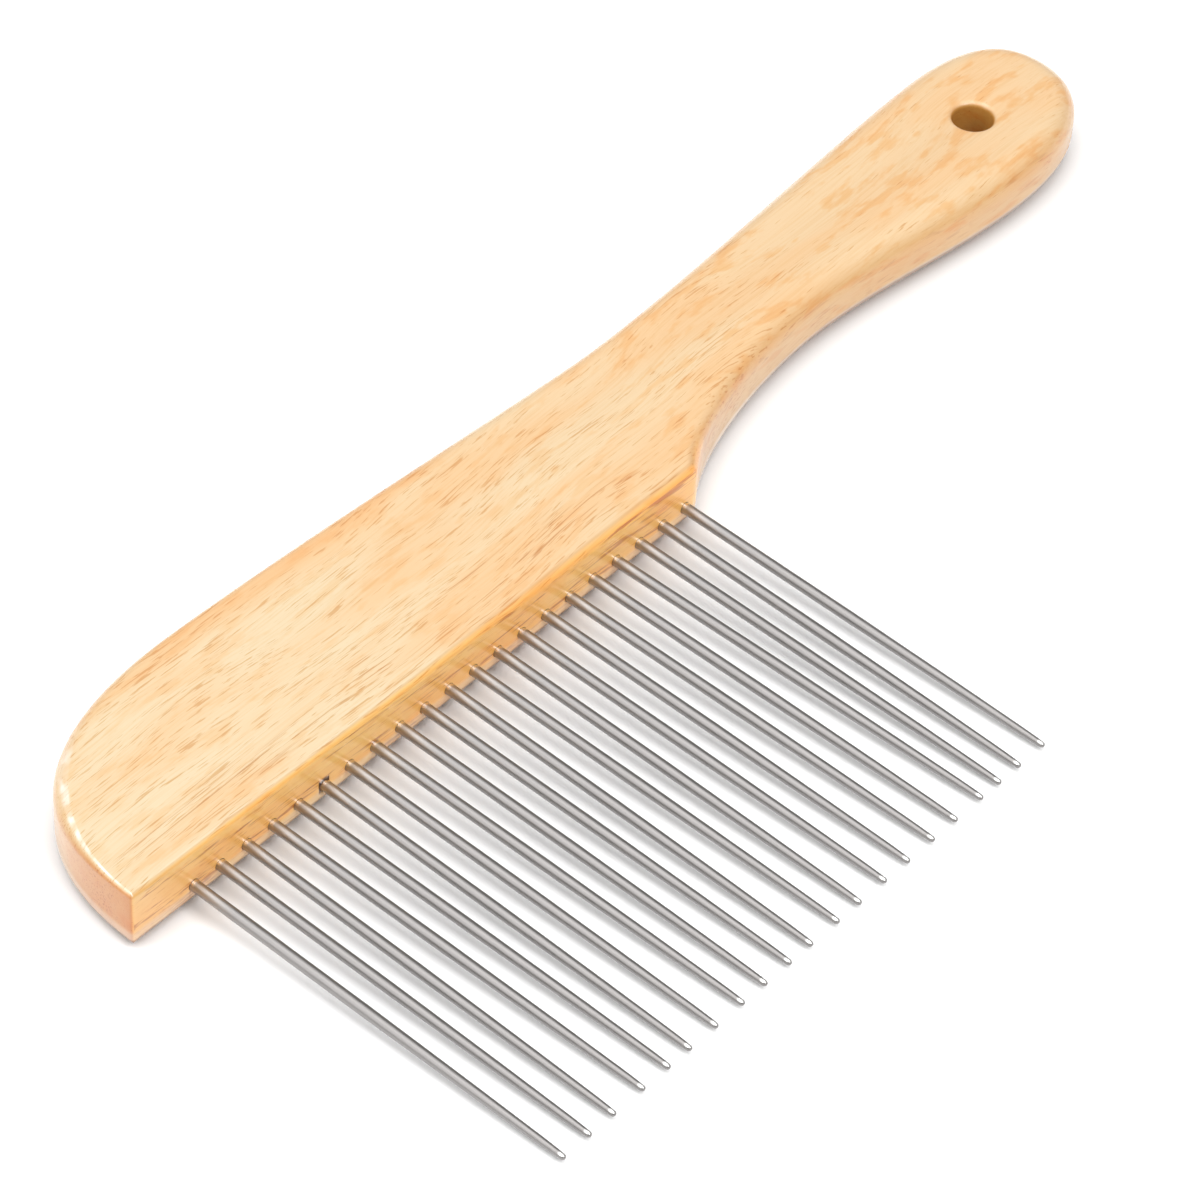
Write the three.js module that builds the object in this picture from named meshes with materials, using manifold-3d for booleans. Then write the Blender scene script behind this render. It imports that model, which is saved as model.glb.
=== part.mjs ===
// Hand weaving comb: a one-piece wooden handle with a single row of round steel pins.
//
// Millimetres, +Z up. The comb lies flat. The handle runs along X with its grip towards +X, the pins
// point to -Y, and Z is the board's thickness. While the comb is being built, x is 0 at the middle pin,
// y is 0 on the face that holds the pins and z is 0 on the underside. The finished group is then moved
// so that its origin is at the middle of the underside of the whole comb's box.
import * as THREE from 'three';
import { mergeVertices } from 'three/addons/utils/BufferGeometryUtils.js';
import Module from 'manifold-3d';

const wasm = await Module();
wasm.setup();

// Driving dimensions: the board.
const BOARD_THICKNESS = 11.5;
const HANG_HOLE = { x: 156.5, y: 22.5, diameter: 7, rimEase: 0.6 };

// Driving dimensions: the pins.
const PIN_COUNT = 21;
const PIN_PITCH = 5.5;
const PIN_DIAMETER = 1.9;
const PIN_EXPOSED_LENGTH = 71.5;
const PIN_SEAT_DEPTH = 15;
const PIN_TIP_RADIUS = 0.5;
// Where the pin narrows towards its tip: distance back from the tip, and share of the full radius.
const PIN_TAPER = [[38, 1], [17, 0.825], [4, 0.65]];
const PIN_HEIGHT = 4.35;
const PIN_DROOP = THREE.MathUtils.degToRad(2.6);
const BORE_GAP = 0.3;
const BORE_EXTRA_DEPTH = 0.5;

// How far the tips of the pins that were set less true stand off their own line, along X.
const TIP_DRIFT = {
  3: -0.3, 4: 0.5, 5: 0.5, 6: -0.3, 8: 0.4, 11: -0.6, 13: -0.4, 16: 0.4, 17: 0.4, 18: 1.1, 20: -0.7, 21: -0.3,
};

// The board's outline, clockwise from the end of the head. Each station has its place, the heading of the
// outline there in degrees, the reach of the curve before and after it, and the radii of the rounded edges:
// edge is at the top face and foot at the underside.
const OUTLINE = [
  { name: 'head end', x: -67.5, y: 0.6, heading: 89, before: 0.35, after: 11, edge: 0.8, foot: 2.6 },
  { name: 'head corner', x: -57.5, y: 25.9, heading: 40.4, before: 8.6, after: 8.6, edge: 3, foot: 3 },
  { name: 'head back', x: -25.5, y: 34.2, heading: 0, before: 15.2, after: 26.5, edge: 1.8, foot: 2.6 },
  { name: 'waist', x: 61, y: 31.3, heading: -2.5, before: 25.5, after: 24.5, edge: 3, foot: 3 },
  { name: 'grip back', x: 158, y: 37.8, heading: 1.5, before: 24, after: 15.5, edge: 4.3, foot: 4.3 },
  { name: 'butt', x: 179, y: 24.8, heading: -90, before: 8, after: 14, edge: 4.3, foot: 4.3 },
  { name: 'grip belly', x: 151.5, y: 8, heading: 180, before: 12, after: 16, edge: 4.3, foot: 4.3 },
  { name: 'neck', x: 104, y: 12, heading: 180, before: 16.5, after: 12.5, edge: 4.3, foot: 4.3 },
  { name: 'heel', x: 59.6, y: 1.4, heading: 216, before: 13, after: 1.5, edge: 2.2, foot: 2.6 },
  { name: 'pin face start', x: 56.4, y: 0, heading: 180, before: 1.5, after: 0, edge: 1.8, foot: 2.6 },
  { name: 'pin face end', x: -66.9, y: 0, heading: 180, before: 0, after: 0.35, edge: 0.8, foot: 2.6 },
];
// The corner where the end of the head meets the pin face. Their rounded edges meet there in a mitre.
const HEAD_CORNER = { x: -67.5, y: 0 };

// Fineness of the facets.
const OUTLINE_STEPS = 9;
const CORNER_STEPS = 3;
const CORNER_REACH = 5;
const EDGE_STEPS = 3;
const HOLE_SIDES = 28;
const PIN_SIDES = 12;

const woodMaterial = new THREE.MeshStandardMaterial({ color: 0xf3d3a0, roughness: 0.35, metalness: 0 });
const steelMaterial = new THREE.MeshStandardMaterial({ color: 0x9a9492, roughness: 0.3, metalness: 1 });

// Cutting with manifold-3d.

// Triangles that shrank to a line where edges meet in a mitre are left out.
function toManifold(geometry) {
  const bare = geometry.clone();
  bare.deleteAttribute('normal');
  bare.deleteAttribute('uv');
  const merged = mergeVertices(bare, 1e-4);
  const corners = merged.index.array;
  const kept = [];
  for (let i = 0; i < corners.length; i += 3) {
    const [a, b, c] = corners.slice(i, i + 3);
    if (a !== b && b !== c && c !== a) {
      kept.push(a, b, c);
    }
  }
  return new wasm.Manifold(new wasm.Mesh({
    numProp: 3,
    vertProperties: Float32Array.from(merged.attributes.position.array),
    triVerts: Uint32Array.from(kept),
  }));
}

function toGeometry(manifold) {
  const mesh = manifold.getMesh();
  const geometry = new THREE.BufferGeometry();
  geometry.setAttribute('position', new THREE.BufferAttribute(mesh.vertProperties, 3));
  geometry.setIndex(new THREE.BufferAttribute(mesh.triVerts, 1));
  geometry.computeVertexNormals();
  return geometry;
}

// The handle.

function headingVector(station) {
  const angle = THREE.MathUtils.degToRad(station.heading);
  return new THREE.Vector2(Math.cos(angle), Math.sin(angle));
}

// Points round the outline, each with the outward normal and the edge radii there.
function outlinePoints() {
  const points = [];
  OUTLINE.forEach((from, i) => {
    const to = OUTLINE[(i + 1) % OUTLINE.length];
    const start = new THREE.Vector2(from.x, from.y);
    const end = new THREE.Vector2(to.x, to.y);
    const chord = end.clone().sub(start);
    const curve = new THREE.CubicBezierCurve(
      start,
      headingVector(from).multiplyScalar(from.after || chord.length() / 3).add(start),
      headingVector(to).multiplyScalar(-(to.before || chord.length() / 3)).add(end),
      end,
    );
    const steps = chord.length() < CORNER_REACH ? CORNER_STEPS : OUTLINE_STEPS;
    for (let k = 0; k < steps; k += 1) {
      const t = k / steps;
      const tangent = curve.getTangent(t);
      const blend = THREE.MathUtils.smoothstep(t, 0, 1);
      points.push({
        place: curve.getPoint(t),
        normal: new THREE.Vector2(-tangent.y, tangent.x),
        edge: THREE.MathUtils.lerp(from.edge, to.edge, blend),
        foot: THREE.MathUtils.lerp(from.foot, to.foot, blend),
      });
    }
  });
  return points;
}

// Heights and insets of the rings that round both edges of the board, from the underside to the top.
function edgeRings() {
  const rings = [];
  for (const side of [-1, 1]) {
    for (let k = 0; k <= EDGE_STEPS; k += 1) {
      const step = side < 0 ? k : EDGE_STEPS - k;
      const angle = (step / EDGE_STEPS) * Math.PI / 2;
      rings.push({ side, inset: 1 - Math.sin(angle), rise: 1 - Math.cos(angle) });
    }
  }
  return rings;
}

function boardGeometry() {
  const outline = outlinePoints();
  const count = outline.length;
  const rings = edgeRings();
  const positions = [];
  for (const ring of rings) {
    for (const { place, normal, edge, foot } of outline) {
      const radius = ring.side < 0 ? foot : edge;
      const inset = radius * ring.inset;
      const x = Math.max(place.x - normal.x * inset, HEAD_CORNER.x + inset);
      const y = Math.max(place.y - normal.y * inset, HEAD_CORNER.y + inset);
      const fromFace = radius * ring.rise;
      positions.push(x, y, ring.side < 0 ? fromFace : BOARD_THICKNESS - fromFace);
    }
  }
  const indices = [];
  for (let ring = 0; ring < rings.length - 1; ring += 1) {
    for (let i = 0; i < count; i += 1) {
      const next = (i + 1) % count;
      const low = ring * count;
      const high = low + count;
      indices.push(low + i, high + i, high + next, low + i, high + next, low + next);
    }
  }
  const topStart = (rings.length - 1) * count;
  for (const [a, b, c] of capTriangles(positions, 0, count)) {
    indices.push(a, c, b);
  }
  for (const [a, b, c] of capTriangles(positions, topStart, count)) {
    indices.push(a, b, c);
  }
  const geometry = new THREE.BufferGeometry();
  geometry.setAttribute('position', new THREE.Float32BufferAttribute(positions, 3));
  geometry.setIndex(indices);
  return geometry;
}

// Triangles, counter-clockwise from above, that fill the flat face inside one ring.
function capTriangles(positions, start, count) {
  const contour = [];
  for (let i = 0; i < count; i += 1) {
    contour.push(new THREE.Vector2(positions[3 * (start + i)], positions[3 * (start + i) + 1]));
  }
  const triangles = THREE.ShapeUtils.triangulateShape(contour, []);
  return triangles.map(([a, b, c]) => {
    const ab = contour[b].clone().sub(contour[a]);
    const ac = contour[c].clone().sub(contour[a]);
    return ab.cross(ac) > 0 ? [start + a, start + b, start + c] : [start + a, start + c, start + b];
  });
}

// A closed solid turned about +Z from [radius, height] pairs.
function turned(profile, sides) {
  return new THREE.LatheGeometry(profile.map(([radius, height]) => new THREE.Vector2(radius, height)), sides)
    .rotateX(Math.PI / 2);
}

// The hanging hole, with a chamfer where it meets each face.
function hangHoleCutter() {
  const radius = HANG_HOLE.diameter / 2;
  const ease = HANG_HOLE.rimEase;
  const past = 1;
  const cutter = turned([
    [0, -past],
    [radius + ease + past, -past],
    [radius, ease],
    [radius, BOARD_THICKNESS - ease],
    [radius + ease + past, BOARD_THICKNESS + past],
    [0, BOARD_THICKNESS + past],
  ], HOLE_SIDES);
  return cutter.translate(HANG_HOLE.x, HANG_HOLE.y, 0);
}

// The pins.

// Where pin number n (1 at the head end) leaves the board, and which way it points.
function pinLine(number) {
  const x = (number - (PIN_COUNT + 1) / 2) * PIN_PITCH;
  const direction = new THREE.Vector3(
    (TIP_DRIFT[number] ?? 0) / PIN_EXPOSED_LENGTH,
    -Math.cos(PIN_DROOP),
    -Math.sin(PIN_DROOP),
  ).normalize();
  return { base: new THREE.Vector3(x, 0, PIN_HEIGHT), direction };
}

// Turns a solid made along +Z, with z = 0 where the pin leaves the board, onto the pin's own line.
function alongPin(geometry, number) {
  const { base, direction } = pinLine(number);
  const turn = new THREE.Quaternion().setFromUnitVectors(new THREE.Vector3(0, 0, 1), direction);
  return geometry.applyQuaternion(turn).translate(base.x, base.y, base.z);
}

function pinGeometry(number) {
  const radius = PIN_DIAMETER / 2;
  const shoulder = PIN_EXPOSED_LENGTH - PIN_TIP_RADIUS;
  const profile = [
    [0, -PIN_SEAT_DEPTH],
    [radius, -PIN_SEAT_DEPTH],
    ...PIN_TAPER.map(([back, share]) => [radius * share, PIN_EXPOSED_LENGTH - back]),
    [PIN_TIP_RADIUS, shoulder],
    [PIN_TIP_RADIUS * Math.SQRT1_2, shoulder + PIN_TIP_RADIUS * Math.SQRT1_2],
    [0, PIN_EXPOSED_LENGTH],
  ];
  return alongPin(turned(profile, PIN_SIDES), number);
}

function boreCutter(number) {
  const radius = PIN_DIAMETER / 2 + BORE_GAP;
  const depth = PIN_SEAT_DEPTH + BORE_EXTRA_DEPTH;
  const past = 2;
  return alongPin(turned([[0, -depth], [radius, -depth], [radius, past], [0, past]], PIN_SIDES), number);
}

function namedMesh(name, geometry, material) {
  const mesh = new THREE.Mesh(geometry, material);
  mesh.name = name;
  return mesh;
}

function makeHandle() {
  let board = toManifold(boardGeometry()).subtract(toManifold(hangHoleCutter()));
  for (let number = 1; number <= PIN_COUNT; number += 1) {
    board = board.subtract(toManifold(boreCutter(number)));
  }
  return namedMesh('handle', toGeometry(board), woodMaterial);
}

function makePin(number) {
  const name = `pin_${String(number).padStart(2, '0')}`;
  return namedMesh(name, pinGeometry(number), steelMaterial);
}

const comb = new THREE.Group();
comb.add(makeHandle());
for (let number = 1; number <= PIN_COUNT; number += 1) {
  comb.add(makePin(number));
}

const box = new THREE.Box3().setFromObject(comb);
const middle = box.getCenter(new THREE.Vector3());
comb.position.set(-middle.x, -middle.y, -box.min.z);
comb.updateMatrixWorld(true);

export default comb;
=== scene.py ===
import math

import bpy
import bmesh
from mathutils import Matrix, Vector
from mathutils.geometry import tessellate_polygon


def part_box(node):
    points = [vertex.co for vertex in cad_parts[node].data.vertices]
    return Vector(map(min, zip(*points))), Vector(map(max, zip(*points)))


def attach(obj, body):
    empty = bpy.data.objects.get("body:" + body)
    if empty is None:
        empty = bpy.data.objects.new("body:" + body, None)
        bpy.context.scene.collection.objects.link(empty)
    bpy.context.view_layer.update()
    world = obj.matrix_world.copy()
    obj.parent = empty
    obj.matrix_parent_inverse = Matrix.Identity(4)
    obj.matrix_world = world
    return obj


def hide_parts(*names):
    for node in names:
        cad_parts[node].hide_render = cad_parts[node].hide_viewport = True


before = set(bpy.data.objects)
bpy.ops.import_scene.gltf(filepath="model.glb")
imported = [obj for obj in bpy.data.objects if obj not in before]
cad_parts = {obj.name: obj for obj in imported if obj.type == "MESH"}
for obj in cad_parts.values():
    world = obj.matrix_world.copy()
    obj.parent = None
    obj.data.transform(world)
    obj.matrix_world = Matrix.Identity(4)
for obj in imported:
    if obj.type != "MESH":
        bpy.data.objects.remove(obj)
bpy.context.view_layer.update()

MM = 0.001

# Places that come from the frame: the comb lies flat, its pins point to -Y and its grip to +X.
handle_low, handle_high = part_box("handle")
THICKNESS = handle_high.z - handle_low.z
PIN_NAMES = sorted(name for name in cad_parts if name.startswith("pin_"))
pin_low, pin_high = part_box(PIN_NAMES[0])
PIN_LENGTH = pin_high.y - pin_low.y

# The corner where the rounded edges of the head's end and of the pin face meet in a mitre. It is given in
# millimetres from the middle pin's place on the pin face, which is the origin of the outline.
HEAD_CORNER = {"x": -67.5, "y": 0}
OUTLINE_ORIGIN = Vector((
    handle_low.x - HEAD_CORNER["x"] * MM,
    handle_low.y - HEAD_CORNER["y"] * MM,
    handle_low.z,
))

# Stations of the outline in millimetres, clockwise from the end of the head: place, heading in degrees, reach
# of the curve before and after, and radii of the rounded edges at the top face (edge) and underside (foot).
STATION_KEYS = ("x", "y", "heading", "before", "after", "edge", "foot")
OUTLINE = [dict(zip(STATION_KEYS, station)) for station in (
    (-67.5, 0.6, 89, 0.35, 11, 0.8, 2.6),       # end of the head
    (-57.5, 25.9, 40.4, 8.6, 8.6, 3, 3),        # rounded corner of the head
    (-25.5, 34.2, 0, 15.2, 26.5, 1.8, 2.6),     # back of the head
    (61, 31.3, -2.5, 25.5, 24.5, 3, 3),         # waist
    (158, 37.8, 1.5, 24, 15.5, 4.3, 4.3),       # back of the grip
    (179, 24.8, -90, 8, 14, 4.3, 4.3),          # butt
    (151.5, 8, 180, 12, 16, 4.3, 4.3),          # belly of the grip
    (104, 12, 180, 16.5, 12.5, 4.3, 4.3),       # neck
    (59.6, 1.4, 216, 13, 1.5, 2.2, 2.6),        # heel
    (56.4, 0, 180, 1.5, 0, 1.8, 2.6),           # start of the pin face
    (-66.9, 0, 180, 0, 0.35, 0.8, 2.6),         # end of the pin face
)]
HANG_HOLE = {"x": 156.5, "y": 22.5, "radius": 3.5, "rim": 1.0}

# Fineness of the meshes.
STEPS_PER_MM = 1.6
CORNER_REACH = 5
CORNER_STEPS = 8
EDGE_STEPS = 8
EDGE_SUPPORT = 0.08
HOLE_SIDES = 96
RIM_STEPS = 6
PIN_SIDES = 40
PIN_RINGS = 60
TIP_STEPS = 8
MERGE_REACH = 0.001
SHARP_ANGLE = math.radians(35)

# Pins: where they narrow (distance back from the tip, share of the full radius) and how they sit in the wood.
PIN_TAPER = [(38 * MM, 1.0), (17 * MM, 0.825), (4 * MM, 0.65)]
PIN_TIP_RADIUS = 0.5 * MM
BORE_GAP = 0.06 * MM
BORE_DEPTH = 15.4 * MM

# The camera, which looks at a point just above the floor, given from the outline's own origin.
VIEW_AZIMUTH = math.radians(-51.37)
VIEW_ELEVATION = math.radians(43.82)
VIEW_ROLL = math.radians(3.227)
VIEW_DISTANCE = 0.78836
VIEW_TARGET = OUTLINE_ORIGIN + Vector((30.13, -3.98, 4.35)) * MM
SENSOR_WIDTH = 36.0
LENS = 154.2

# The studio: an even white surround, three square soft lights and a white floor.
SURROUND_RADIANCE = 0.36
SOFTBOXES = [
    {"name": "overhead_softbox", "place": (-0.3, 0.15, 2.0), "size": 2.4, "radiance": 2.4},
    {"name": "left_softbox", "place": (-2.0, 1.1, 1.3), "size": 1.6, "radiance": 2.2},
    {"name": "front_softbox", "place": (-0.1, -1.7, 1.9), "size": 1.4, "radiance": 4.1},
]
FLOOR_HALF_SIZE = 4.0
FLOOR_DROP = 0.05 * MM

# Colours of the wood, some of them painted light, shade or reflection. A tint multiplies the colour that is
# already there.
CREAM = (0.715, 0.575, 0.375, 1)
HONEY = (0.725, 0.48, 0.255, 1)
BACK_BAND_TINT = (0.99, 0.86, 0.72, 1)
PATCH_TINT = (0.97, 0.79, 0.56, 1)
FIBRE_TINT = (0.93, 0.82, 0.66, 1)
VESSEL_TINT = (0.84, 0.68, 0.50, 1)
LONG_LINE_TINT = (0.72, 0.50, 0.30, 1)
# Partly the wood's deeper tone on its sides, partly painted shade: the sides are coloured darker than the
# top.
SIDE_TONE_AND_SHADE = (0.91, 0.75, 0.52, 1)
SIDE_STREAK_TINT = (0.62, 0.42, 0.24, 1)
END_GRAIN_TINT = (0.86, 0.56, 0.31, 1)
# Painted light: the pin face is coloured brighter than the wood is, less so near the head's corner.
PIN_FACE_PAINTED_LIGHT = (1.56, 1.40, 0.86, 1)
# Painted shade on the rounded top edge over the pins.
PIN_EDGE_PAINTED_SHADE = (0.88, 0.78, 0.66, 1)
# Painted reflection of the white floor: a pale band low on the sides, stronger on the grip.
FOOT_PAINTED_REFLECTION = (0.74, 0.63, 0.50, 1)
# Painted contact shadow: a dark line where the underside turns down to the floor.
FOOT_PAINTED_CONTACT_SHADOW = (0.44, 0.33, 0.24, 1)
# Painted highlight along the crisp top edge of the head's end.
RIM_PAINTED_HIGHLIGHT = (0.90, 0.84, 0.77, 1)
# Painted shade inside the hanging hole.
HOLE_PAINTED_SHADE = (0.76, 0.67, 0.37, 1)

# Colours of the steel, two of them painted light and glints.
STEEL_DARK = (0.264, 0.252, 0.246, 1)
STEEL_LIGHT = (0.332, 0.318, 0.311, 1)
# Painted light: the steel near the wood is coloured brighter and warmer.
STEEL_PAINTED_LIGHT_BY_WOOD = (0.45, 0.42, 0.395, 1)
# Painted glints on the upper side of the pins, at the tip and at the wood.
STEEL_PAINTED_GLINT = (0.85, 0.84, 0.82, 1)


# ---------------------------------------------------------------------------
# Camera, floor and light
# ---------------------------------------------------------------------------

def add_camera():
    back = Vector((
        math.sin(VIEW_AZIMUTH) * math.cos(VIEW_ELEVATION),
        -math.cos(VIEW_AZIMUTH) * math.cos(VIEW_ELEVATION),
        math.sin(VIEW_ELEVATION),
    ))
    data = bpy.data.cameras.new("camera")
    data.sensor_width = SENSOR_WIDTH
    data.lens = LENS
    data.clip_start = 0.01
    camera = bpy.data.objects.new("camera", data)
    turn = back.to_track_quat("Z", "Y").to_matrix().to_4x4() @ Matrix.Rotation(VIEW_ROLL, 4, "Z")
    camera.matrix_world = Matrix.Translation(VIEW_TARGET + back * VIEW_DISTANCE) @ turn
    bpy.context.scene.collection.objects.link(camera)
    bpy.context.scene.camera = camera


def add_softbox(name, place, size, radiance):
    """A square soft light of that radiance, turned towards the comb."""
    data = bpy.data.lights.new(name, "AREA")
    data.shape = "SQUARE"
    data.size = size
    data.energy = radiance * math.pi * size * size
    light = bpy.data.objects.new(name, data)
    light.location = place
    light.rotation_mode = "QUATERNION"
    light.rotation_quaternion = Vector(place).to_track_quat("Z", "Y")
    bpy.context.scene.collection.objects.link(light)


def add_world():
    world = bpy.data.worlds.new("studio")
    world.use_nodes = True
    background = world.node_tree.nodes["Background"]
    background.inputs["Color"].default_value = (1, 1, 1, 1)
    background.inputs["Strength"].default_value = SURROUND_RADIANCE
    bpy.context.scene.world = world


def add_floor(material):
    half = FLOOR_HALF_SIZE
    height = handle_low.z - FLOOR_DROP
    corners = [(-half, -half), (half, -half), (half, half), (-half, half)]
    mesh = bpy.data.meshes.new("floor")
    mesh.from_pydata([(x, y, height) for x, y in corners], [], [(0, 1, 2, 3)])
    mesh.materials.append(material)
    new_object("floor", mesh)


# ---------------------------------------------------------------------------
# Materials
# ---------------------------------------------------------------------------

class Graph:
    """A material's node tree, with short ways to add nodes."""

    def __init__(self, name):
        self.material = bpy.data.materials.new(name)
        self.material.use_nodes = True
        self.tree = self.material.node_tree
        self.shader = self.tree.nodes["Principled BSDF"]

    def fill(self, socket, value):
        if isinstance(value, bpy.types.NodeSocket):
            self.tree.links.new(value, socket)
        else:
            socket.default_value = value

    def node(self, kind, inputs=(), **settings):
        node = self.tree.nodes.new(kind)
        for key, value in settings.items():
            setattr(node, key, value)
        for key, value in dict(inputs).items():
            self.fill(node.inputs[key], value)
        return node

    def math(self, operation, first, second=0.0, third=0.0):
        values = {0: first, 1: second, 2: third}
        return self.node("ShaderNodeMath", values, operation=operation).outputs[0]

    def times(self, first, *others):
        """The product of all the values."""
        product = first
        for other in others:
            product = self.math("MULTIPLY", product, other)
        return product

    def vector(self, x, y, z):
        return self.node("ShaderNodeCombineXYZ", {"X": x, "Y": y, "Z": z}).outputs[0]

    def split(self, vector):
        """The x, y and z of a vector."""
        return tuple(self.node("ShaderNodeSeparateXYZ", {0: vector}).outputs)

    def noise(self, vector, scale=1.0, detail=2.0, roughness=0.5):
        values = {"Vector": vector, "Scale": scale, "Detail": detail, "Roughness": roughness}
        return self.node("ShaderNodeTexNoise", values).outputs[0]

    def ramp(self, value, low, high, start=0.0, end=1.0):
        """A smooth step of value from low to high, giving start to end."""
        values = {"Value": value, "From Min": low, "From Max": high, "To Min": start, "To Max": end}
        return self.node("ShaderNodeMapRange", values, interpolation_type="SMOOTHSTEP").outputs[0]

    def mix(self, amount, first, second, blend="MIX"):
        node = self.node("ShaderNodeMix", data_type="RGBA", blend_type=blend)
        self.fill(node.inputs[0], amount)
        self.fill(node.inputs[6], first)
        self.fill(node.inputs[7], second)
        return node.outputs[2]

    def tint(self, amount, colour, tone):
        return self.mix(amount, colour, tone, "MULTIPLY")

    def set(self, **inputs):
        for key, value in inputs.items():
            self.fill(self.shader.inputs[key.replace("_", " ")], value)


class WoodGraph(Graph):
    """The tree of the wood. Its lengths are millimetres from the outline's origin."""

    def __init__(self):
        super().__init__("lacquered_wood")
        coordinates = self.node("ShaderNodeTexCoord")
        shift = tuple(-value / MM for value in OUTLINE_ORIGIN)
        inputs = {0: coordinates.outputs["Object"], 1: (1 / MM,) * 3, 2: shift}
        self.place = self.node("ShaderNodeVectorMath", inputs, operation="MULTIPLY_ADD").outputs[0]
        self.x, self.y, self.z = self.split(self.place)
        self.normal_x, self.normal_y, self.normal_z = self.split(coordinates.outputs["Normal"])
        self.end_facing = self.math("ABSOLUTE", self.normal_x)
        self.side_facing = self.math("SUBTRACT", 1.0, self.math("ABSOLUTE", self.normal_z))

        # The fibres wander slowly from side to side and up and down.
        slow = self.vector(self.times(self.x, 0.018), self.times(self.y, 0.05), self.times(self.z, 0.05))
        swing = self.times(self.math("SUBTRACT", self.noise(slow, detail=1.0), 0.5), 9.0)
        self.across = self.math("ADD", self.math("MULTIPLY_ADD", self.x, -0.035, self.y), swing)
        self.rise = self.math("MULTIPLY_ADD", swing, 0.6, self.z)

        # Broad soft areas, and the clusters that the open vessels come in.
        self.broad = self.grain(45, 9, 3.1)
        self.cluster = self.grain(22, 4.5, 71.9)

    def grain(self, along, side, seed, detail=2.0, roughness=0.5):
        """Noise stretched along the fibres: a patch is about that many mm long and wide."""
        vector = self.vector(
            self.math("MULTIPLY_ADD", self.x, 1.0 / along, seed),
            self.times(self.across, 1.0 / side),
            self.times(self.rise, 1.0 / side),
        )
        return self.noise(vector, detail=detail, roughness=roughness)


def ground_colour(wood):
    """Cream in the head, honey towards the grip, and an orange band along the back of the head."""
    towards_grip = wood.ramp(wood.x, -60.0, 130.0, 0.0, 0.62)
    broad_share = wood.ramp(wood.broad, 0.38, 0.66, 0.0, 0.75)
    colour = wood.mix(wood.math("ADD", towards_grip, broad_share), CREAM, HONEY)
    back_band = wood.times(wood.ramp(wood.y, 28.5, 31.0), wood.ramp(wood.x, 45.0, 25.0))
    return wood.tint(wood.times(back_band, 0.8), colour, BACK_BAND_TINT)


def add_patches(wood, colour):
    """Soft orange patches, most of them on the grip."""
    patches = wood.ramp(wood.grain(7.0, 2.1, 93.4, detail=3.0), 0.50, 0.66)
    share = wood.ramp(wood.x, 20.0, 110.0, 0.42, 0.80)
    return wood.tint(wood.times(patches, share), colour, PATCH_TINT)


def add_fibres(wood, colour):
    """Fine fibres everywhere, and a few long lines low on the head."""
    fibres = wood.ramp(wood.grain(24, 0.34, 41.7, detail=3.0, roughness=0.6), 0.42, 0.72)
    colour = wood.tint(wood.times(fibres, 0.55), colour, FIBRE_TINT)
    lines = wood.ramp(wood.grain(75, 0.42, 17.3), 0.58, 0.66)
    low_on_head = wood.times(
        wood.ramp(wood.y, 2.5, 5.5),
        wood.ramp(wood.y, 11.0, 7.5),
        wood.ramp(wood.x, 60.0, 40.0),
    )
    return wood.tint(wood.times(lines, low_on_head, 0.8), colour, LONG_LINE_TINT)


def open_vessels(wood):
    """Where the short dark dashes of open vessels lie. They come in clusters and are fewer on the grip."""
    cut = wood.ramp(wood.cluster, 0.36, 0.64, 0.635, 0.56)
    on_grip = wood.ramp(wood.x, 85.0, 125.0, 0.0, 0.075)
    over = wood.math("SUBTRACT", wood.grain(6.0, 0.30, 57.2), wood.math("ADD", cut, on_grip))
    return wood.ramp(over, 0.0, 0.07)


def add_side_faces(wood, colour):
    """Deeper colour, partly painted shade, and brown streaks on the sides; orange end grain; painted light on
    the pin face and painted shade on its rounded top edge; a painted floor reflection and contact shadow low
    on the sides.
    """
    sides = wood.ramp(wood.side_facing, 0.02, 0.65)
    # Painted shade in part: the sides are tinted deeper and darker than the top and underside.
    colour = wood.tint(sides, colour, SIDE_TONE_AND_SHADE)
    streaks = wood.ramp(wood.grain(13, 0.7, 12.6, detail=3.0), 0.57, 0.68)
    streak_share = wood.times(wood.ramp(wood.end_facing, 0.6, 0.2), wood.ramp(wood.x, 75.0, 58.0, 0.3, 1.0))
    colour = wood.tint(wood.times(streaks, sides, streak_share), colour, SIDE_STREAK_TINT)

    ends = wood.times(wood.ramp(wood.end_facing, 0.45, 0.9), wood.ramp(wood.x, 20.0, 0.0))
    colour = wood.tint(wood.times(ends, wood.ramp(wood.y, 24.0, 8.0, 0.25, 1.0)), colour, END_GRAIN_TINT)

    # Painted light on the pin face, weaker near the head's end, where no pins shade the face.
    on_head = wood.ramp(wood.x, 66.0, 58.0)
    pin_face_light = wood.times(wood.ramp(wood.normal_y, -0.3, -0.9), on_head)
    past_corner = wood.ramp(wood.x, -66.0, -44.0, 0.45, 1.0)
    colour = wood.tint(wood.times(pin_face_light, past_corner), colour, PIN_FACE_PAINTED_LIGHT)
    # Painted shade: the rounded top edge over the pin face is coloured darker.
    pin_edge_shade = wood.times(
        wood.ramp(wood.normal_y, -0.08, -0.45),
        wood.ramp(wood.normal_y, -1.0, -0.88),
        wood.ramp(wood.normal_z, 0.0, 0.2),
    )
    colour = wood.tint(wood.times(pin_edge_shade, on_head), colour, PIN_EDGE_PAINTED_SHADE)

    # Low on the sides a pale band, a painted reflection of the floor, ends in a dark line at the floor, a
    # painted contact shadow on the faces that turn down.
    floor_reflection = wood.times(wood.ramp(wood.z, 4.2, 3.0), wood.ramp(wood.x, 58.0, 78.0, 0.4, 0.75))
    colour = wood.mix(wood.times(sides, floor_reflection), colour, FOOT_PAINTED_REFLECTION)
    # Painted contact shadow on the faces that turn down to the floor.
    return wood.tint(wood.ramp(wood.normal_z, -0.10, -0.34), colour, FOOT_PAINTED_CONTACT_SHADOW)


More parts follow.
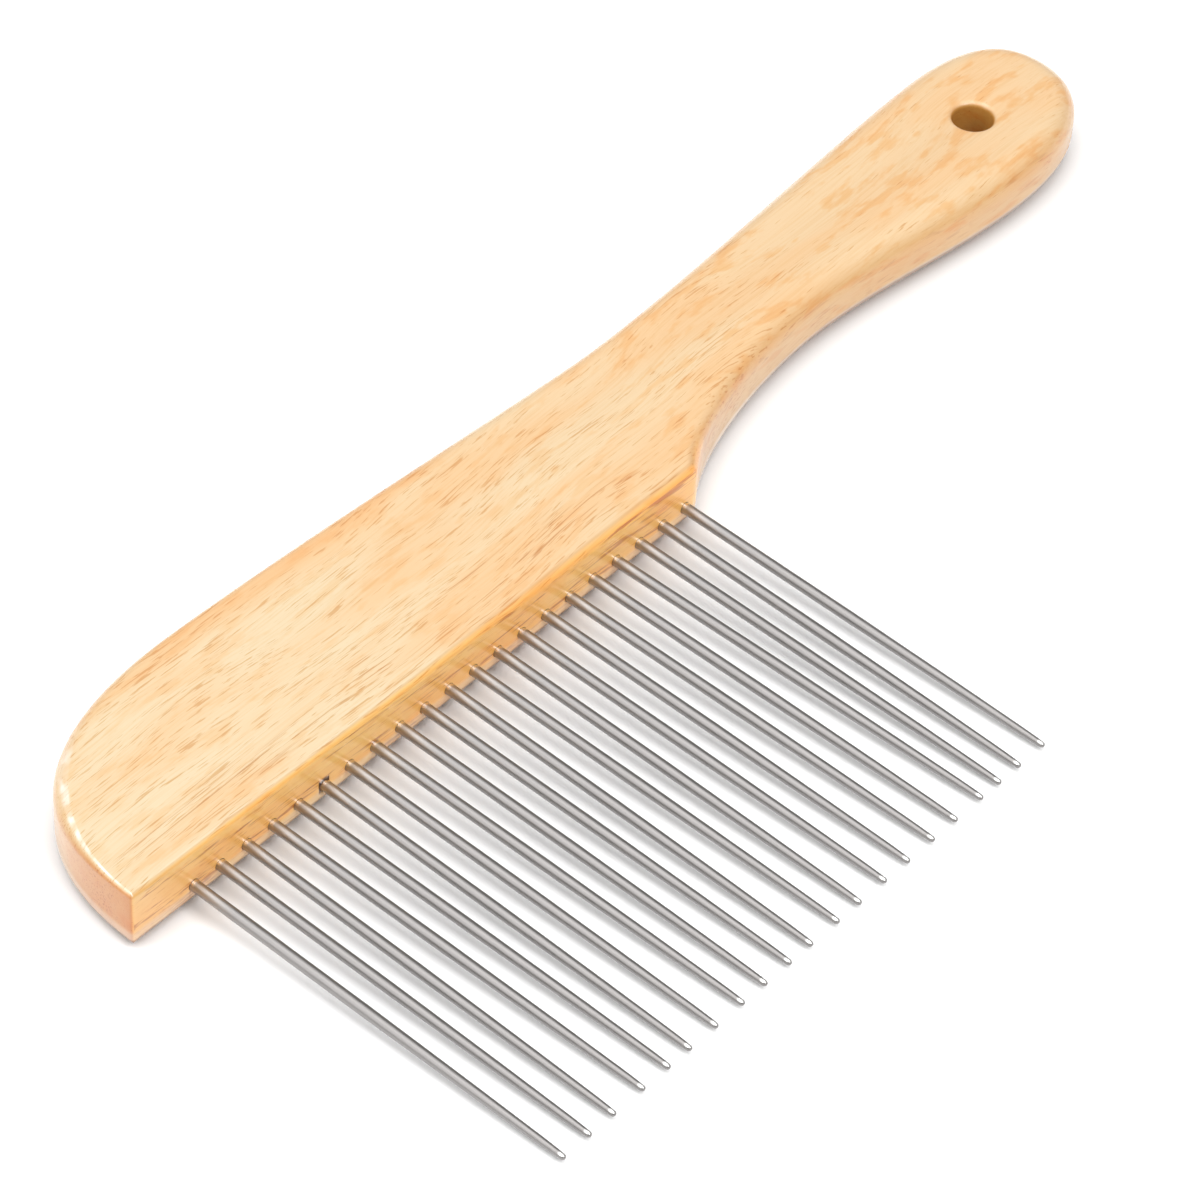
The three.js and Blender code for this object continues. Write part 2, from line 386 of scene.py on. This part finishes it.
def add_rim_highlight(wood, colour):
    """A painted highlight with painted glints along the crisp top edge of the head's end."""
    rim = wood.times(
        wood.ramp(wood.end_facing, 0.10, 0.20),
        wood.ramp(wood.end_facing, 0.55, 0.35),
        wood.ramp(wood.normal_z, 0.5, 0.7),
        wood.ramp(wood.x, -50.0, -56.0),
    )
    painted_glints = wood.ramp(wood.grain(5, 3, 7.7), 0.42, 0.62, 0.10, 0.80)
    return wood.mix(wood.times(rim, painted_glints), colour, RIM_PAINTED_HIGHLIGHT)


def add_hole_shade(wood, colour):
    """Painted shade inside the hanging hole: the wood there is coloured darker."""
    from_hole = wood.vector(
        wood.math("SUBTRACT", wood.x, HANG_HOLE["x"]),
        wood.math("SUBTRACT", wood.y, HANG_HOLE["y"]),
        0.0,
    )
    distance = wood.node("ShaderNodeVectorMath", {0: from_hole}, operation="LENGTH").outputs["Value"]
    hole_shade = wood.ramp(distance, HANG_HOLE["radius"] + 0.35, HANG_HOLE["radius"] + 0.05)
    return wood.tint(hole_shade, colour, HOLE_PAINTED_SHADE)


def add_lacquer(wood, colour, vessels):
    """Clear lacquer: open vessels and a faint orange-peel show in the gloss."""
    wood.set(Base_Color=colour, Roughness=wood.ramp(wood.broad, 0.3, 0.7, 0.40, 0.52))
    wood.set(Coat_Weight=0.9, Coat_Roughness=wood.ramp(wood.cluster, 0.3, 0.7, 0.12, 0.22))
    ripple = wood.noise(wood.place, scale=0.35)
    height = wood.math("MULTIPLY_ADD", vessels, -0.35, ripple)
    bump = wood.node("ShaderNodeBump", {"Strength": 0.25, "Distance": 0.1 * MM, "Height": height})
    wood.set(Normal=bump.outputs[0])


def wood_material():
    """Pale straight-grained hardwood under clear lacquer."""
    wood = WoodGraph()
    vessels = open_vessels(wood)
    colour = ground_colour(wood)
    colour = add_patches(wood, colour)
    colour = wood.tint(vessels, colour, VESSEL_TINT)
    colour = add_fibres(wood, colour)
    colour = add_side_faces(wood, colour)
    colour = add_rim_highlight(wood, colour)
    colour = add_hole_shade(wood, colour)
    add_lacquer(wood, colour, vessels)
    return wood.material


def steel_material():
    """Drawn steel wire with a satin finish. Painted light brightens it by the wood, and painted glints mark
    its upper side at the tip and at the wood, where it is also smoother.
    """
    graph = Graph("pin_steel")
    coordinates = graph.node("ShaderNodeTexCoord")
    place = coordinates.outputs["Object"]
    stretched = graph.node("ShaderNodeVectorMath", {0: place, 1: (5000, 260, 5000)}, operation="MULTIPLY")
    drawn = graph.noise(stretched.outputs[0], detail=3.0, roughness=0.6)
    colour = graph.mix(drawn, STEEL_DARK, STEEL_LIGHT)

    # Distances along the pin in millimetres.
    from_wood = graph.math("MULTIPLY_ADD", graph.split(place)[1], -1 / MM, handle_low.y / MM)
    from_tip = graph.times(graph.split(coordinates.outputs["Generated"])[1], PIN_LENGTH / MM)
    # Painted light: the steel is coloured brighter and warmer over its last few mm by the wood.
    colour = graph.mix(graph.ramp(from_wood, 9.0, 1.5, 0.0, 0.7), colour, STEEL_PAINTED_LIGHT_BY_WOOD)

    # Painted glints on the upper side, at the tip and where the pin leaves the wood; there the steel is also
    # smoother.
    upward = graph.split(coordinates.outputs["Normal"])[2]
    painted_glints = graph.math("ADD", graph.ramp(from_tip, 1.35, 0.75), graph.ramp(from_wood, 0.9, 0.3))
    polish_and_painted_glint = graph.times(painted_glints, graph.ramp(upward, 0.5, 0.85))
    colour = graph.mix(polish_and_painted_glint, colour, STEEL_PAINTED_GLINT)

    satin = graph.ramp(drawn, 0.3, 0.7, 0.36, 0.44)
    roughness = graph.times(satin, graph.math("MULTIPLY_ADD", polish_and_painted_glint, -0.5, 1.0))
    graph.set(Base_Color=colour, Metallic=1.0, Roughness=roughness)
    bump = graph.node("ShaderNodeBump", {"Strength": 0.1, "Distance": 0.02 * MM, "Height": drawn})
    graph.set(Normal=bump.outputs[0])
    return graph.material


def floor_material():
    graph = Graph("white_floor")
    graph.set(Base_Color=(0.96, 0.96, 0.96, 1), Roughness=0.7)
    return graph.material


# ---------------------------------------------------------------------------
# Meshes
# ---------------------------------------------------------------------------

def new_object(name, mesh):
    piece = bpy.data.objects.new(name, mesh)
    bpy.context.scene.collection.objects.link(piece)
    return piece


def bridge(faces, lower, upper):
    """Faces between two rings. Where points share a vertex the face shrinks to a triangle or to nothing."""
    count = len(lower)
    for i in range(count):
        j = (i + 1) % count
        corners = tuple(dict.fromkeys((lower[i], upper[i], upper[j], lower[j])))
        if len(corners) > 2:
            faces.append(corners)


def closed_mesh(name, places, faces):
    """A mesh with all its faces turned outwards."""
    mesh = bpy.data.meshes.new(name)
    mesh.from_pydata(places, [], faces)
    shell = bmesh.new()
    shell.from_mesh(mesh)
    bmesh.ops.recalc_face_normals(shell, faces=shell.faces)
    shell.to_mesh(mesh)
    shell.free()
    return mesh


def smooth(mesh):
    for polygon in mesh.polygons:
        polygon.use_smooth = True
    mesh.set_sharp_from_angle(angle=SHARP_ANGLE)


def circle(centre, axis, radius):
    """Points round a circle square to an axis that is close to Y."""
    first = axis.cross(Vector((0, 0, 1))).normalized()
    second = axis.cross(first)
    angles = [2 * math.pi * k / PIN_SIDES for k in range(PIN_SIDES)]
    return [centre + (first * math.cos(a) + second * math.sin(a)) * radius for a in angles]


# ---------------------------------------------------------------------------
# Handle
# ---------------------------------------------------------------------------

def heading_vector(station):
    angle = math.radians(station["heading"])
    return Vector((math.cos(angle), math.sin(angle)))


def cubic(points, t):
    """Place and direction on a cubic curve."""
    a, b, c, d = points
    s = 1 - t
    place = a * s ** 3 + b * 3 * s * s * t + c * 3 * s * t * t + d * t ** 3
    slope = (b - a) * s * s + (c - b) * 2 * s * t + (d - c) * t * t
    return place, slope.normalized()


def outline_points():
    """Points round the outline in mm, each with its outward normal and its radii at the top and the foot."""
    points = []
    for i, start in enumerate(OUTLINE):
        end = OUTLINE[(i + 1) % len(OUTLINE)]
        a = Vector((start["x"], start["y"]))
        d = Vector((end["x"], end["y"]))
        reach = (d - a).length
        b = a + heading_vector(start) * (start["after"] or reach / 3)
        c = d - heading_vector(end) * (end["before"] or reach / 3)
        steps = CORNER_STEPS if reach < CORNER_REACH else round(reach * STEPS_PER_MM)
        for k in range(steps):
            t = k / steps
            place, along = cubic((a, b, c, d), t)
            blend = t * t * (3 - 2 * t)
            edge, foot = (start[key] + (end[key] - start[key]) * blend for key in ("edge", "foot"))
            points.append((place, Vector((-along.y, along.x)), edge, foot))
    return points


def edge_profile():
    """(side, inset, rise) of each ring from the underside to the top, in shares of the edge radius."""
    quarter = [math.pi / 2 * k / EDGE_STEPS for k in range(EDGE_STEPS + 1)]
    low = [(-1, 1 - math.sin(a), 1 - math.cos(a)) for a in quarter]
    high = [(1, inset, rise) for _, inset, rise in reversed(low)]
    return [(-1, 1 + EDGE_SUPPORT, 0.0)] + low + [(0, 0.0, 0.0)] + high + [(1, 1 + EDGE_SUPPORT, 0.0)]


def outline_ring(places, outline, side, inset, rise):
    """Adds one ring round the board and gives its vertices. Points that meet at the mitre share a vertex."""
    thick = THICKNESS / MM
    ring = []
    for place, normal, edge, foot in outline:
        radius = foot if side < 0 else edge
        flat = place - normal * radius * inset
        flat.x = max(flat.x, HEAD_CORNER["x"] + radius * inset)
        flat.y = max(flat.y, HEAD_CORNER["y"] + radius * inset)
        height = {-1: radius * rise, 0: thick / 2, 1: thick - radius * rise}[side]
        here = Vector((flat.x, flat.y, height))
        near = next((i for i in (*ring[-1:], *ring[:1]) if (places[i] - here).length < MERGE_REACH), None)
        if near is None:
            near = len(places)
            places.append(here)
        ring.append(near)
    return ring


def hole_profile():
    """(radius, height) in mm of each ring of the hanging hole, from the top face to the underside."""
    radius, rim = HANG_HOLE["radius"], HANG_HOLE["rim"]
    thick = THICKNESS / MM
    quarter = [math.pi / 2 * k / RIM_STEPS for k in range(RIM_STEPS + 1)]
    top = [(radius + rim * (1 - math.sin(a)), thick - rim * (1 - math.cos(a))) for a in quarter]
    return top + [(r, thick - h) for r, h in reversed(top)]


def hole_ring(places, radius, height):
    """Adds one ring of the hanging hole and gives its vertices."""
    ring = []
    for k in range(HOLE_SIDES):
        angle = -2 * math.pi * k / HOLE_SIDES
        ring.append(len(places))
        places.append(Vector((
            HANG_HOLE["x"] + radius * math.cos(angle),
            HANG_HOLE["y"] + radius * math.sin(angle),
            height,
        )))
    return ring


def board_mesh():
    """The whole board as one closed mesh, in metres in the frame."""
    outline = outline_points()
    places, faces = [], []
    rings = [outline_ring(places, outline, *step) for step in edge_profile()]
    hole_rings = [hole_ring(places, *step) for step in hole_profile()]
    for stack in (rings, hole_rings):
        for first, second in zip(stack, stack[1:]):
            bridge(faces, first, second)
    for outer, inner in ((rings[-1], hole_rings[0]), (rings[0], hole_rings[-1])):
        border = list(dict.fromkeys(outer))
        both = border + inner
        for face in tessellate_polygon([[places[i] for i in border], [places[i] for i in inner]]):
            faces.append(tuple(both[i] for i in face))
    return closed_mesh("wooden_handle", [OUTLINE_ORIGIN + place * MM for place in places], faces)


def bore_cutter(pins):
    """One mesh with a closed round bar for each pin's bore."""
    places, faces = [], []
    past = 1 * MM
    for pin in pins:
        ends = [pin["mouth"] - pin["axis"] * BORE_DEPTH, pin["mouth"] + pin["axis"] * past]
        base = len(places)
        for end in ends:
            places.extend(circle(end, pin["axis"], pin["radius"] + BORE_GAP))
        lower = list(range(base, base + PIN_SIDES))
        upper = list(range(base + PIN_SIDES, base + 2 * PIN_SIDES))
        bridge(faces, lower, upper)
        faces.append(tuple(reversed(upper)))
        faces.append(tuple(lower))
    return closed_mesh("bores", places, faces)


def make_handle(pins, material):
    handle = new_object("wooden_handle", board_mesh())
    cutter = new_object("bores", bore_cutter(pins))
    cut = handle.modifiers.new("bores", "BOOLEAN")
    cut.operation = "DIFFERENCE"
    cut.solver = "EXACT"
    cut.object = cutter
    bpy.context.view_layer.update()
    whole = bpy.data.meshes.new_from_object(handle.evaluated_get(bpy.context.evaluated_depsgraph_get()))
    handle.modifiers.clear()
    handle.data = whole
    bpy.data.objects.remove(cutter)
    smooth(whole)
    whole.materials.clear()
    whole.materials.append(material)
    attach(handle, "root")
    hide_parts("handle")


# ---------------------------------------------------------------------------
# Pins
# ---------------------------------------------------------------------------

def read_pin(name):
    """Line and size of a CAD pin, read from its solid: where it ends, where it leaves the wood, its axis."""
    places = [vertex.co.copy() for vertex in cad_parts[name].data.vertices]
    far = max(place.y for place in places)
    tip = min(places, key=lambda place: place.y)
    near = 1 * MM
    seat_ring = [place for place in places if far - place.y < near]
    seat = sum(seat_ring, Vector()) / len(seat_ring)
    axis = (tip - seat).normalized()
    radius = max(((place - seat) - axis * (place - seat).dot(axis)).length for place in seat_ring)
    mouth = seat + axis * ((handle_low.y - seat.y) / axis.y)
    return {"name": name, "seat": seat, "tip": tip, "axis": axis, "radius": radius, "mouth": mouth}


def taper_share(taper, back):
    """Share of the full radius at that distance back from the tip."""
    if back >= taper[0][0]:
        return 1.0
    for (outer, wide), (inner, narrow) in zip(taper, taper[1:]):
        if back >= inner:
            return narrow + (wide - narrow) * (back - inner) / (outer - inner)
    return taper[-1][1]


def pin_profile(pin):
    """(distance back from the tip, radius) of each ring, from the seat to the round tip."""
    length = (pin["tip"] - pin["seat"]).length
    full = pin["radius"]
    taper = PIN_TAPER + [(PIN_TIP_RADIUS, PIN_TIP_RADIUS / full)]
    profile = []
    for k in range(PIN_RINGS + 1):
        back = length - (length - PIN_TIP_RADIUS) * k / PIN_RINGS
        profile.append((back, full * taper_share(taper, back)))
    for k in range(1, TIP_STEPS):
        angle = math.pi / 2 * k / TIP_STEPS
        profile.append((PIN_TIP_RADIUS * (1 - math.sin(angle)), PIN_TIP_RADIUS * math.cos(angle)))
    return profile


def pin_mesh(pin):
    profile = pin_profile(pin)
    places, faces = [], []
    for back, radius in profile:
        places.extend(circle(pin["tip"] - pin["axis"] * back, pin["axis"], radius))
    for k in range(len(profile) - 1):
        lower = [k * PIN_SIDES + i for i in range(PIN_SIDES)]
        bridge(faces, lower, [i + PIN_SIDES for i in lower])
    faces.append(tuple(range(PIN_SIDES)))
    last = (len(profile) - 1) * PIN_SIDES
    places.append(pin["tip"])
    for i in range(PIN_SIDES):
        faces.append((last + i, len(places) - 1, last + (i + 1) % PIN_SIDES))
    return closed_mesh("steel_" + pin["name"], places, faces)


def make_pin(pin, material):
    mesh = pin_mesh(pin)
    smooth(mesh)
    mesh.materials.append(material)
    piece = new_object("steel_" + pin["name"], mesh)
    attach(piece, "root")
    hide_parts(pin["name"])


# ---------------------------------------------------------------------------
# The scene
# ---------------------------------------------------------------------------

bpy.context.scene.view_settings.view_transform = "Standard"

add_camera()
add_world()
for softbox in SOFTBOXES:
    add_softbox(**softbox)
add_floor(floor_material())

pins = [read_pin(name) for name in PIN_NAMES]
make_handle(pins, wood_material())
steel = steel_material()
for pin in pins:
    make_pin(pin, steel)
